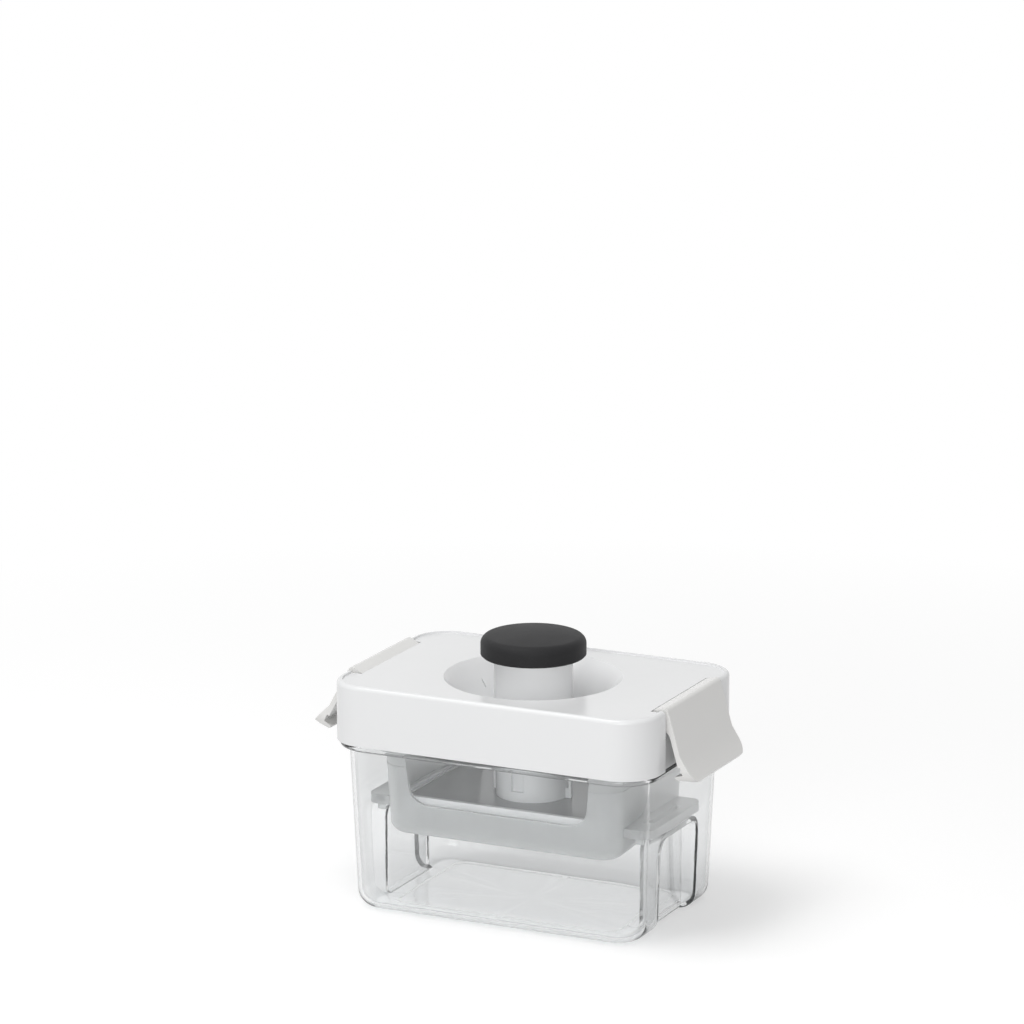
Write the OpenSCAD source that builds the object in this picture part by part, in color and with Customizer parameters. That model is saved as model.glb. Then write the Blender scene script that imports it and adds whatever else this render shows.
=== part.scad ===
// Tofu press: a clear container, a strainer basket that hangs on the container's grips, and a
// latched lid that carries a spring-loaded plunger. Millimetres, Z up, X along the length.
// The origin is the middle of the container's base. The pieces are drawn closed up, with the
// latches open and the plunger at its lowest.

/* [Container] */
// Length of the upright rim, outside
rim_len = 178; // [170:1:190]
// Width of the upright rim, outside
rim_wid = 118; // [112:1:128]
// Corner radius of the upright rim
rim_r = 18; // [14:1:22]
// Height of the container
cont_h = 100; // [92:1:112]
// Height of the rim above the flange
rim_h = 6; // [4:0.5:7]
// Wall of the container
cont_wall = 2.2; // [1.8:0.1:2.8]
// Thickness of the container's floor
cont_floor = 2.5; // [2:0.1:3.5]
// How far the flange stands out from the rim
flange_out = 3.5; // [3:0.1:4]
// Thickness of the flange
flange_t = 3.6; // [3:0.1:4.5]
// Depth of the step inside the rim
rim_step = 1; // [0.5:0.1:1.5]
// How far the body is set in from the rim, on each side
body_in = 1.5; // [1:0.1:2]
// How far the walls lean in from the flange to the base, on each side
cont_lean = 3; // [2:0.5:4]
// Radius of the container's bottom edge
cont_edge = 10; // [7:0.5:12]
// Width of the finger recess in each end
grip_w = 48; // [42:1:52]
// Height of the finger recess
grip_h = 52; // [46:1:56]
// Depth of the finger recess below the flange's body line
grip_d = 10.5; // [9.5:0.5:11]
// Corner radius at the top of the finger recess
grip_r = 8; // [5:0.5:12]
// Length and width of the field that the raised line in the floor goes round
panel_len = 132; // [110:1:138]
panel_wid = 84; // [70:1:90]
// Width of the raised line, and of the break in the middle of each side
panel_line = 2.4; // [1.6:0.2:3.6]
panel_gap = 3; // [2:0.5:6]
// Height of the raised line
panel_t = 0.6; // [0.4:0.1:1]
// Corner radius of the raised line
panel_r = 9; // [6:0.5:14]

/* [Basket] */
// Length of the basket at its base, outside
bask_len = 136; // [128:1:140]
// Width of the basket at its base, outside
bask_wid = 87; // [82:1:92]
// Height of the basket to the tip of its lips
bask_h = 77; // [72:1:79]
// Wall of the basket
bask_wall = 2.2; // [1.8:0.1:2.6]
// Corner radius of the basket at its base
bask_r = 12; // [9:0.5:15]
// Radius of the basket's bottom edge
bask_edge = 7; // [5:0.5:8]
// How far the basket's walls lean out to the top, on each side
bask_lean = 2.5; // [1.5:0.5:3]
// Height of the low long sides
side_h = 18.5; // [15:0.5:24]
// Width of the corner posts beside the open sides
post_w = 15; // [12:0.5:18]
// Radius where a post meets the low side
side_fillet = 11; // [8:0.5:14]
// Radius at the top of a post
post_r = 8; // [5:0.5:10]
// How far each lip flares out beyond its wall
lip_out = 9.5; // [7:0.5:10]
// Inside radius of the curl under each lip
lip_curl = 6; // [4.5:0.5:6.5]
// Slope of each lip's outer part, in degrees
lip_rise = 20; // [10:1:30]
// Height of the lips above the straight walls
lip_h = 8; // [8:0.5:10]
// Length of each lip, front to back
lip_wid = 86; // [72:1:90]
// Corner radius of each lip, seen from above
lip_r = 10; // [4:1:14]
// Gap between a lip's root and the faces of the wall that it stands in
lip_root = 0.15; // [0.1:0.05:0.3]
// Width of each ledge, front to back
ledge_wid = 66; // [62:1:72]
// Thickness of each ledge
ledge_t = 5; // [4:0.5:6]
// Length of the slot in each ledge
slot_len = 36; // [24:1:44]
// Width of the slot in each ledge
slot_wid = 3.6; // [3:0.1:3.8]
// Distance of the slot from the ledge's end
slot_in = 5.2; // [4:0.2:6]
// Corner radius of each ledge
ledge_r = 6; // [4:0.5:9]
// Depth, length and thickness of the lugs below each ledge
lug_h = 4; // [3:0.5:6]
lug_len = 5; // [3:0.5:6]
lug_t = 2.4; // [1.6:0.2:3]
// Height of the fill line on the posts above the basket's base, its width and how far it stands out
line_z = 38; // [30:1:50]
line_h = 0.8; // [0.6:0.1:1.2]
line_t = 0.3; // [0.2:0.1:0.5]
// Length of the fill line that runs on round each corner, from the end wall's middle out
line_from = 24; // [16:1:30]
// Length and width of one drain hole
hole_len = 4.4; // [3.6:0.2:6]
hole_wid = 2.4; // [1.8:0.2:3.4]
// Spacing of the drain holes, along and across
hole_dx = 8.4; // [7:0.2:12]
hole_dy = 7; // [6:0.2:10]

/* [Lid] */
// Height of the lid
lid_h = 33; // [31:1:36]
// Corner radius of the lid
lid_r = 21; // [18:1:24]
// Wall of the lid's long sides
lid_wall = 2.6; // [2.2:0.1:2.9]
// Wall of the lid's ends behind the latches
end_wall = 1.5; // [1.2:0.1:1.8]
// Thickness of the lid's corners beyond each end of its hollow
lid_end = 3.8; // [3.4:0.1:4.8]
// Thickness of the lid's top
lid_top = 2.5; // [2:0.1:3]
// Radius of the lid's top edge
lid_edge = 2.4; // [1.5:0.1:3]
// Width and height of the raised bead round the top
bead_w = 3; // [2:0.2:4]
bead_h = 1; // [0.6:0.1:1.4]
// Radius of the dish at its mouth
dish_r = 48; // [44:1:50]
// Radius of the dish's flat floor
dish_floor_r = 32; // [29:1:36]
// Depth of the dish's floor below the bead
dish_depth = 20; // [18:1:22]
// Wall of the dish
dish_wall = 2.2; // [1.8:0.1:2.8]
// Width of the bevel round the dish's mouth
dish_lip = 3; // [2:0.5:4]
// Length and width of the slits in the dish's slope
slit_len = 3.5; // [2:0.5:5]
slit_wid = 0.8; // [0.6:0.1:1.2]
// Angles at which each opening in the dish's floor starts and ends, from the lid's length
opening_from = 8; // [4:1:20]
opening_to = 72; // [50:1:80]
// Width of the floor that is left inside and outside the dish's openings
opening_edge = 1; // [0.6:0.1:1.2]
// Wall of the troughs behind the latches
trough_wall = 1.8; // [1.4:0.1:2.4]
// Wall of the guide collar
collar_wall = 3.6; // [3:0.1:4.5]
// How far the guide collar's flange stands out
collar_out = 3; // [2:0.5:4]
// Length of the guide collar below the dish's floor
collar_h = 9.5; // [7:0.5:9.5]

/* [Latches] */
// Width of each latch, front to back
latch_wid = 68; // [60:1:72]
// Thickness of each latch
latch_t = 2.8; // [2.4:0.1:3.2]
// How far each latch reaches below the lid
latch_drop = 10; // [9:0.5:12]
// How far the finger tab flares out
tab_out = 4.5; // [3:0.5:6]
// How far the left latch stands open, in degrees
open_left = 29; // [12:1:34]
// How far the right latch stands open, in degrees
open_right = 16; // [12:1:34]
// How far each catch reaches in under the flange
catch_in = 3.4; // [2.6:0.1:3.6]
// Height of each catch
hook_h = 3.6; // [3:0.1:4.5]
// Thickness of the finger tab's edge
tab_edge = 1; // [0.8:0.1:1.4]
// Corner radius of the finger tab
tab_r = 9; // [5:0.5:12]
// Height above the lid's edge at which the tab starts to flare
tab_z = 6; // [4:0.5:10]
// Width and height of the webs at both sides of the latch
web_wid = 4; // [3:0.5:6]
web_h = 13; // [10:0.5:15]
// Radius of the hinge pins
pin_r = 1.1; // [0.9:0.1:1.2]
// Radius of the hinge barrel
barrel_r = 2.6; // [2.2:0.1:2.8]
// Depth of the hinge pins below the lid's top
pin_drop = 3.5; // [3:0.1:4]
// How far each hinge pin runs into the lid, and the wall past its end
pin_in = 2; // [1.5:0.5:3]
pin_end = 1; // [0.8:0.1:2]

/* [Plunger] */
// Radius of the knob
knob_r = 28.3; // [26:0.5:31]
// Height of the knob
knob_h = 12.6; // [11:0.2:15]
// Radius of the knob's top edge
knob_edge = 4.5; // [3:0.5:5.5]
// Height of the knob's dome
knob_dome = 1.4; // [0.8:0.2:2]
// Height of the knob's underside above the lid, knob up
knob_gap = 10.6; // [9:0.2:14]
// Radius and height of the stem's disc inside the knob
core_r = 24; // [22:0.5:25]
core_h = 8; // [7:0.5:9]
// Thickness of that disc's top
core_t = 2; // [1.5:0.5:2.5]
// Radius of the stem under the knob
stem_r = 21.1; // [20:0.1:22]
// Wall of the stem
stem_wall = 1.1; // [1:0.1:1.4]
// Height and reach of the catches that hold the stem in the lid
catch_h = 2.7; // [2:0.1:3]
catch_out = 0.9; // [0.7:0.1:1.2]
// Width of each catch
catch_wid = 20; // [12:1:24]
// Height of the keys that run in the tube's slots
key_h = 5; // [4:0.5:7]
// Wall of the press tube
tube_wall = 3.4; // [2.8:0.1:4]
// Wall that is left behind each slot in the tube
slot_skin = 1; // [0.8:0.1:1.4]
// Height of the tube's unbroken end above its slots
tube_end = 5; // [3:0.5:7]
// Width of the two upright slots in the tube
tube_slot = 7.3; // [5:0.1:9]
// Thickness of the two guide blades beside the tube
blade_t = 1.8; // [1.4:0.1:2.4]
// Depth of the guide blades
blade_d = 1.5; // [1.2:0.1:2]
// How far the knob can be pressed
press_travel = 12; // [8:0.5:12]
// How far the plate can be pushed up into the stem
plate_travel = 27.5; // [20:0.5:27.5]
// Corner radius of the press plate
plate_r = 10; // [8:0.5:13]
// Height of the press plate's rim
plate_h = 5.5; // [4.5:0.5:7]
// Thickness of the plate's floor
plate_floor = 2.4; // [2:0.1:3]
// Width of the plate's rim, and of the step inside it
plate_rim = 2.5; // [2:0.1:3.5]
plate_step = 2; // [1:0.5:3]
// Height of that step above the pad
step_h = 0.8; // [0.5:0.1:1]
// Thickness of the pad in the plate
pad_t = 0.8; // [0.6:0.1:1]
// Mean radius of the spring
spring_r = 13.5; // [11:0.5:15]
// Radius of the spring's wire
wire_r = 0.9; // [0.6:0.1:1.2]
// Least gap between the spring's turns
coil_gap = 0.5; // [0.4:0.1:1]
// Turns of the spring
spring_turns = 10; // [6:1:14]
// Thickness of the spring's seat
seat_t = 3; // [2:0.5:4]
// Height of the boss that centres the spring
seat_boss = 4; // [3:0.5:5]

/* [Fits] */
// Gap between pieces that slide on one another
slide_gap = 0.3; // [0.2:0.05:0.4]
// Gap between the hinge pin and the latch's barrel
pin_gap = 0.1; // [0.05:0.05:0.2]
// Gap between pieces that rest on one another
seat_gap = 0.1; // [0.05:0.05:0.3]
// Gap between a closed latch and what it closes on
latch_gap = 0.5; // [0.4:0.1:0.8]
// Gap between each side of a latch and the lid
side_gap = 2; // [1:0.5:3]
// Gap between the rim and the lid, at each end and at each side
rim_gap = 0.7; // [0.5:0.1:1]
rim_side_gap = 1.9; // [1:0.1:2.5]
// Gap between the basket's lips and the lid's ceiling
head_gap = 4.7; // [1:0.1:8]
// Gap between the pressed plate and the basket's floor
plate_gap = 2; // [1:0.5:4]
// Gap between the plate and the basket, at each end and at each side
plate_end_gap = 2.8; // [1.5:0.1:5]
plate_side_gap = 1.8; // [1:0.1:4]
// Gap between the hinge barrel and the trough round it
trough_gap = 1.3; // [0.6:0.1:2]
// Gap between the basket's ledges and the container's ends
ledge_gap = 1.2; // [0.8:0.1:2]

/* [Hidden] */
$fn = 96;
cut = 1;                       // how far a cutter runs past the face that it cuts
hull_fn = 32;                  // steps round the corners of the hulled shells

// container
flange_z = cont_h - rim_h;     // top of the flange, where the lid rests
body_len = rim_len - 2 * body_in;
body_wid = rim_wid - 2 * body_in;
body_r = rim_r - body_in;
base_len = body_len - 2 * cont_lean;
base_wid = body_wid - 2 * cont_lean;
rim_wall = cont_wall - rim_step;           // wall over the step, from the body's outer face
grip_x = body_len / 2 - grip_d;            // outer face of the finger recess
ledge_top = grip_h + cont_wall;            // inner shelf over the finger recess

// lid
lid_z = flange_z;
lid_in_len = rim_len + 2 * rim_gap;
lid_in_wid = rim_wid + 2 * rim_side_gap;
lid_len = lid_in_len + 2 * lid_end;        // the lid, outside
lid_wid = lid_in_wid + 2 * lid_wall;
top_z = lid_z + lid_h;                     // top of the bead
plain_z = top_z - bead_h;                  // flat of the lid's top
bore_r = stem_r + slide_gap;               // bore of the guide collar
floor_z = top_z - dish_depth;              // floor of the dish
recess_x = lid_in_len / 2 + end_wall;      // end wall behind each latch
recess_wid = latch_wid + 2 * side_gap;
hinge_x = recess_x - barrel_r;
hinge_z = top_z - pin_drop;
trough_x = hinge_x - barrel_r - trough_gap;   // inner face of the trough that holds the hinge
trough_z = hinge_z - barrel_r - latch_gap; // floor of the trough
pocket_z = hinge_z - web_h - latch_gap;    // floor of the pockets behind the latch's webs
pocket_wid = web_wid + side_gap + latch_gap;
latch_x = recess_x + latch_gap;            // inner face of a closed latch
flange_x = rim_len / 2 + flange_out + latch_gap;   // its inner face over the flange
slit_angles = [130, 160];                  // directions of the slits in the dish's slope
collar_z = floor_z - collar_h;             // underside of the guide collar
collar_r = bore_r + collar_wall;

// basket, hung by its ledges on the shelves, with its lips just under the lid's ceiling
bask_z = plain_z - lid_top - head_gap - bask_h;   // underside of the basket
ledge_z = ledge_top + seat_gap - bask_z;   // underside of the ledges above the basket's own
bask_top_len = bask_len + 2 * bask_lean;
bask_top_wid = bask_wid + 2 * bask_lean;
ledge_in = body_len / 2 - cont_wall - (flange_z - ledge_top) * cont_lean / flange_z;
ledge_x = ledge_in - ledge_gap;            // outer end of each ledge
wall_top = bask_h - lip_h;                 // where the straight walls end

// plunger
knob_z = top_z + knob_gap;                 // underside of the knob
plate_z = bask_z + bask_wall + plate_gap + press_travel;   // underside of the press plate
plate_len = bask_len - 2 * bask_wall - 2 * plate_end_gap;
plate_wid = bask_wid - 2 * bask_wall - 2 * plate_side_gap;
stem_in = stem_r - stem_wall;
tube_r = stem_in - slide_gap;
tube_in = tube_r - tube_wall;
stem_z = collar_z - slide_gap - catch_h;   // bottom end of the stem
pad_z = plate_z + plate_floor;             // where the pad lies
tube_z = pad_z + pad_t;                    // bottom end of the tube
slot_r = tube_in + slot_skin;              // bottom of the slots
slot_top = stem_z + key_h + slide_gap;
slot_z = stem_z - plate_travel - slide_gap;
tube_top = slot_top + tube_end;
blade_top = knob_z - plate_travel - slide_gap;
blade_in = stem_r + slide_gap;
blade_out = blade_in + blade_d;
core_z = knob_z + core_h;                  // top of the stem's disc
spring_top = core_z - core_t - seat_t;

// Points of an arc from angle a0 to a1
function arc(c, r, a0, a1, n = 8) =
    [for (i = [0 : n]) let (a = a0 + (a1 - a0) * i / n) [c[0] + r * cos(a), c[1] + r * sin(a)]];

// A rectangle with round corners
module round_rect(l, w, r) {
    square([l - 2 * r, w], center = true);
    square([l, w - 2 * r], center = true);
    for (x = [-1, 1], y = [-1, 1])
        translate([x * (l / 2 - r), y * (w / 2 - r)]) circle(r);
}

// A flat slab with round corners, from z0 to z1
module slab(l, w, r, z0, z1) {
    translate([0, 0, z0]) linear_extrude(z1 - z0) round_rect(l, w, r);
}

// A tub with a round bottom edge, whose walls lean out by lean from z0 to z1
module tub(l, w, r, edge, lean, z0, z1) {
    hull() {
        for (x = [-1, 1], y = [-1, 1]) {
            translate([x * (l / 2 - r), y * (w / 2 - r), z0 + edge])
                rotate_extrude($fn = hull_fn) translate([r - edge, 0])
                    intersection() {
                        circle(edge, $fn = hull_fn);
                        translate([0, -edge]) square([edge, edge]);
                    }
            translate([x * (l / 2 + lean - r), y * (w / 2 + lean - r), z1 - 0.01])
                cylinder(r = r, h = 0.01, $fn = hull_fn);
        }
    }
}

// Everything on both ends: the children are drawn at the +X end
module both_ends() {
    children();
    mirror([1, 0, 0]) children();
}

// The outline of a finger recess, seen along X, grown by g
module grip_outline(g) {
    w = grip_w / 2 + g;
    r = grip_r + g;
    top = grip_h + g;
    polygon(concat([[w, -cut]], arc([w - r, top - r], r, 0, 90), arc([r - w, top - r], r, 90, 180),
                   [[-w, -cut]]));
}

// A prism along X with the outline of the finger recess, from x0 to x1
module grip_prism(g, x0, x1) {
    translate([x0, 0, 0]) rotate([90, 0, 90]) linear_extrude(x1 - x0) grip_outline(g);
}

// The raised line on the container's floor, broken in the middle of each side
module floor_line() {
    difference() {
        slab(panel_len, panel_wid, panel_r, cont_floor / 2, cont_floor + panel_t);
        slab(panel_len - 2 * panel_line, panel_wid - 2 * panel_line, panel_r - panel_line,
             cont_floor / 2 - cut, cont_floor + panel_t + cut);
        for (a = [0, 90]) rotate([0, 0, a])
            cube([2 * panel_len, panel_gap, 4 * cont_floor], center = true);
    }
}

module container() {
    color([0.92, 0.95, 0.97, 0.35]) {
        difference() {
            union() {
                tub(base_len, base_wid, body_r, cont_edge, cont_lean, 0, flange_z);
                slab(rim_len + 2 * flange_out, rim_wid + 2 * flange_out, rim_r + flange_out,
                     flange_z - flange_t, flange_z);
                slab(rim_len, rim_wid, rim_r, flange_z - cut, cont_h);
            }
            difference() {
                tub(base_len - 2 * cont_wall, base_wid - 2 * cont_wall, body_r - cont_wall,
                    cont_edge - cont_wall, cont_lean, cont_floor, flange_z + 0.005);
                both_ends() grip_prism(cont_wall, grip_x - cont_wall, rim_len);
            }
            slab(body_len - 2 * rim_wall, body_wid - 2 * rim_wall, body_r - rim_wall,
                 flange_z - flange_t / 2, cont_h + cut);
            both_ends() grip_prism(0, grip_x, rim_len);
        }
        floor_line();
    }
}

// The opening in the basket's long sides, seen along Y
module side_outline() {
    top = bask_top_len / 2 - post_w;
    low = top - 3;
    r = side_fillet;
    polygon(concat(arc([low - r, side_h + r], r, -90, 0),
                   arc([top + post_r, wall_top - post_r], post_r, 180, 90),
                   [[top + post_r, bask_h + cut], [-top - post_r, bask_h + cut]],
                   arc([-top - post_r, wall_top - post_r], post_r, 90, 0),
                   arc([r - low, side_h + r], r, 180, 270)));
}

// The curled lip, from the wall's outer face at x = 0 outwards
module lip_outline() {
    inner = lip_curl + bask_wall - lip_root;
    outer = lip_curl + lip_root;
    run = lip_out - lip_curl * (1 - sin(lip_rise));
    cx = lip_curl;
    cz = bask_h - inner * cos(lip_rise) - run * sin(lip_rise);
    a = 90 + lip_rise;
    over = arc([cx, cz], inner, 180, a);
    under = arc([cx, cz], outer, a, 180);
    step = [run * cos(lip_rise), run * sin(lip_rise)];
    low = wall_top - bask_wall;
    polygon(concat([[cx - inner, low]], over, [over[8] + step, under[0] + step], under,
                   [[cx - outer, low]]));
}

// A lip along the end wall at +X and round both of its corners
module lip() {
    x = bask_top_len / 2;
    y = bask_top_wid / 2 - bask_r;
    intersection() {
        union() {
            translate([x, 0, 0]) rotate([90, 0, 0])
                linear_extrude(2 * y, center = true) lip_outline();
            for (s = [0, 1]) mirror([0, s, 0]) translate([x - bask_r, y, 0])
                rotate_extrude(angle = 90) translate([bask_r, 0]) lip_outline();
        }
        slab(bask_top_len + 2 * lip_out + 2, lip_wid, lip_r, 0, bask_h + cut);
    }
}

// One ledge with its slot and its two lugs, at the +X end
module ledge() {
    x0 = bask_len / 2 - bask_wall / 2;
    slot_x = ledge_x - slot_in - slot_wid / 2;
    lug_y = grip_w / 2 + cont_wall + slide_gap;
    translate([0, 0, ledge_z]) linear_extrude(ledge_t) difference() {
        intersection() {
            round_rect(2 * ledge_x, ledge_wid, ledge_r);
            translate([x0, -ledge_wid / 2]) square([ledge_x, ledge_wid]);
        }
        translate([slot_x, 0]) round_rect(slot_wid, slot_len, 0.49 * slot_wid);
    }
    for (y = [lug_y, -lug_y - lug_t])
        translate([slot_x - lug_len / 2, y, ledge_z - lug_h]) cube([lug_len, lug_t, lug_h + ledge_t / 2]);
}

// The staggered drain holes
module drain_holes() {
    flat_len = bask_len - 2 * bask_edge - 2 * hole_len;
    flat_wid = bask_wid - 2 * bask_edge - 2 * hole_wid;
    rows = floor(flat_wid / 2 / hole_dy);
    for (j = [-rows : rows]) {
        shift = (j % 2 == 0) ? 0 : 0.5;
        count = floor(flat_len / 2 / hole_dx - shift);
        for (i = [-count - 2 * shift : count])
            translate([(i + shift) * hole_dx - hole_len / 2, j * hole_dy - hole_wid / 2, -cut])
                cube([hole_len, hole_wid, bask_wall + 2 * cut]);
    }
}

// The raised line round the corner posts
module fill_line() {
    intersection() {
        difference() {
            tub(bask_len + 2 * line_t, bask_wid + 2 * line_t, bask_r + line_t, bask_edge, bask_lean,
                0, wall_top);
            tub(bask_len - bask_wall, bask_wid - bask_wall, bask_r - bask_wall / 2,
                bask_edge - bask_wall / 2, bask_lean, bask_wall / 2, wall_top + cut);
        }
        difference() {
            translate([-bask_len, -bask_wid, line_z]) cube([2 * bask_len, 2 * bask_wid, line_h]);
            translate([-bask_len, -line_from, line_z - cut])
                cube([2 * bask_len, 2 * line_from, line_h + 2 * cut]);
        }
    }
}

module basket() {
    color([0.88, 0.88, 0.88, 0.7]) translate([0, 0, bask_z]) {
        difference() {
            union() {
                difference() {
                    tub(bask_len, bask_wid, bask_r, bask_edge, bask_lean, 0, wall_top);
                    tub(bask_len - 2 * bask_wall, bask_wid - 2 * bask_wall, bask_r - bask_wall,
                        bask_edge - bask_wall, bask_lean, bask_wall, wall_top + 0.005);
                }
                fill_line();
                both_ends() lip();
            }
            rotate([90, 0, 0]) linear_extrude(2 * bask_wid, center = true) side_outline();
            drain_holes();
        }
        both_ends() ledge();
    }
}

// The dish's revolved outline, grown by g below its surface
module dish_outline(g) {
    polygon([[0, floor_z - g], [dish_floor_r + g / 2, floor_z - g],
             [dish_r - dish_lip + g, plain_z - dish_lip], [dish_r + g, plain_z],
             [dish_r + g, top_z + cut], [0, top_z + cut]]);
}

// A wedge-shaped opening in the dish's floor, from angle a0 to a1
module dish_opening(a0, a1) {
    translate([0, 0, floor_z - 2 * dish_wall]) rotate([0, 0, a0])
        rotate_extrude(angle = a1 - a0)
            translate([collar_r + opening_edge, 0])
                square([dish_floor_r - collar_r - 2 * opening_edge, 4 * dish_wall]);
}

// A narrow slit in the dish's slope
module dish_slit(a) {
    rotate([0, 0, a])
        translate([(dish_floor_r + dish_r) / 2 - slit_len, -slit_wid / 2, floor_z - dish_wall])
            cube([slit_len, slit_wid, dish_depth]);
}

// A block of the trough that holds a hinge, from height z up and from depth y back
module trough(z, y, wid, wall, over = 0) {
    translate([trough_x - wall, y, z])
        cube([recess_x - trough_x + wall + over, wid, plain_z - z + over]);
}

module lid_shell() {
    color([0.96, 0.96, 0.96]) difference() {
        union() {
            difference() {
                hull() for (x = [-1, 1], y = [-1, 1])
                    translate([x * (lid_len / 2 - lid_r), y * (lid_wid / 2 - lid_r), lid_z]) {
                        cylinder(r = lid_r, h = 1, $fn = 2 * hull_fn);
                        translate([0, 0, lid_h - lid_edge]) rotate_extrude($fn = 2 * hull_fn)
                            translate([lid_r - lid_edge, 0]) intersection() {
                                circle(lid_edge, $fn = hull_fn);
                                square(lid_edge);
                            }
                    }
                slab(lid_in_len, lid_in_wid, lid_r - lid_wall, lid_z - cut, plain_z - lid_top);
                slab(lid_len - 2 * bead_w, lid_wid - 2 * bead_w, lid_r - bead_w, plain_z, top_z + cut);
            }
            intersection() {
                rotate_extrude() dish_outline(dish_wall);
                cylinder(r = dish_r + dish_wall + cut, h = plain_z);
            }
            both_ends() {
                trough(trough_z - trough_wall, -recess_wid / 2 - pin_in - pin_end,
                       recess_wid + 2 * (pin_in + pin_end), trough_wall);
                for (y = [-recess_wid / 2, recess_wid / 2 - pocket_wid])
                    trough(pocket_z - trough_wall, y - trough_wall, pocket_wid + 2 * trough_wall,
                           trough_wall);
            }
        }
        rotate_extrude() dish_outline(0);
        translate([0, 0, floor_z - 2 * dish_wall]) cylinder(r = collar_r, h = 4 * dish_wall);
        for (a = [0, 180]) {
            dish_opening(a + opening_from, a + opening_to);
            for (b = slit_angles) dish_slit(a + b);
        }
        both_ends() {
            translate([recess_x, -recess_wid / 2, lid_z - cut])
                cube([lid_len, recess_wid, lid_h + 2 * cut]);
            trough(trough_z, -recess_wid / 2, recess_wid, 0, lid_h);
            for (y = [-recess_wid / 2, recess_wid / 2 - pocket_wid])
                trough(pocket_z, y, pocket_wid, 0, lid_h);
            hinge_rod(pin_r, recess_wid + 2 * pin_in);
        }
    }
}

module guide_collar() {
    color([0.93, 0.93, 0.93]) difference() {
        union() {
            translate([0, 0, collar_z]) cylinder(r = collar_r, h = collar_h);
            translate([0, 0, collar_z]) cylinder(r = collar_r + collar_out, h = collar_h - dish_wall);
        }
        translate([0, 0, collar_z - cut]) cylinder(r = bore_r, h = lid_h);
        for (x = [-1, 1])
            translate([x * bore_r, 0, floor_z]) cube([2 * (blade_out - bore_r + slide_gap),
                blade_t + 2 * slide_gap, lid_h], center = true);
    }
}

// A rod along the +X end's hinge axis
module hinge_rod(r, len) {
    translate([hinge_x, 0, hinge_z]) rotate([90, 0, 0]) cylinder(r = r, h = len, center = true);
}

// A latch at the +X end, closed, seen along Y: from the barrel over the top, down the outer face to
// the tab, and back up by the catch under the flange and the pocket that the flange lies in
module latch_outline() {
    x = latch_x;
    out = x + latch_t;
    tab_x = out + tab_out;
    low = lid_z - latch_drop;
    hook_z = lid_z - flange_t - latch_gap;
    nose = x - catch_in;
    polygon(concat([[hinge_x - barrel_r, hinge_z + barrel_r / 2], [hinge_x - 0.85 * barrel_r, top_z]],
                   arc([out - lid_edge, top_z - lid_edge], lid_edge, 90, 0),
                   [[out, lid_z + tab_z], [tab_x, low + tab_edge], [tab_x - tab_edge, low],
                    [tab_x - 0.8 * latch_t, low + tab_edge / 2], [flange_x, hook_z - hook_h],
                    [nose + catch_in / 4, hook_z - 0.7 * hook_h], [nose, hook_z - 0.4 * hook_h],
                    [nose, hook_z], [flange_x, hook_z], [flange_x, lid_z + latch_gap],
                    [x, lid_z + latch_gap], [x, hinge_z - barrel_r / 2],
                    [hinge_x, hinge_z - 0.4 * barrel_r]]));
}

// The arched web between the barrel and the latch's side edge, seen along Y
module web_outline() {
    r = web_h / 2;
    polygon(concat([[hinge_x - 0.9 * barrel_r, hinge_z]],
                   arc([latch_x - r, hinge_z - web_h], r, 75, 0),
                   [[latch_x + latch_t / 2, hinge_z - web_h], [latch_x + latch_t / 2, hinge_z]]));
}

// The latch's face, seen along X
module latch_face() {
    low = lid_z - latch_drop;
    translate([0, low + lid_h]) round_rect(latch_wid, 2 * lid_h, tab_r);
}

module latch(open) {
    translate([hinge_x, 0, hinge_z]) rotate([0, -open, 0]) translate([-hinge_x, 0, -hinge_z])
        difference() {
            union() {
                intersection() {
                    rotate([90, 0, 0]) linear_extrude(latch_wid, center = true) latch_outline();
                    rotate([90, 0, 90]) linear_extrude(lid_len) latch_face();
                }
                hinge_rod(barrel_r, latch_wid);
                for (y = [-latch_wid / 2, latch_wid / 2 - web_wid])
                    translate([0, y + web_wid, 0]) rotate([90, 0, 0])
                        linear_extrude(web_wid) web_outline();
            }
            hinge_rod(pin_r + pin_gap, latch_wid + 2 * cut);
        }
}

module latch_right() {
    color([0.94, 0.94, 0.93]) latch(open_right);
}

module latch_left() {
    color([0.94, 0.94, 0.93]) mirror([1, 0, 0]) latch(open_left);
}

module latch_pin_right() {
    color([0.75, 0.76, 0.78]) hinge_rod(pin_r, recess_wid + 2 * pin_in);
}

module latch_pin_left() {
    color([0.75, 0.76, 0.78]) mirror([1, 0, 0]) hinge_rod(pin_r, recess_wid + 2 * pin_in);
}

// Half of the knob's outline: a low dome with a round edge
function knob_outline(r, h, edge, dome) =
    concat([[0, 0], [r - 1, 0], [r, 1]], arc([r - edge, h - dome - edge], edge, 0, 80),
           [for (i = [5 : -1 : 0]) [(r - edge) * i / 6, h - dome * (i / 6) * (i / 6)]]);

module knob_grip() {
    color([0.13, 0.13, 0.14]) translate([0, 0, knob_z]) difference() {
        rotate_extrude() polygon(knob_outline(knob_r, knob_h, knob_edge, knob_dome));
        translate([0, 0, -cut]) cylinder(r = core_r, h = core_h + cut);
    }
}

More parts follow.
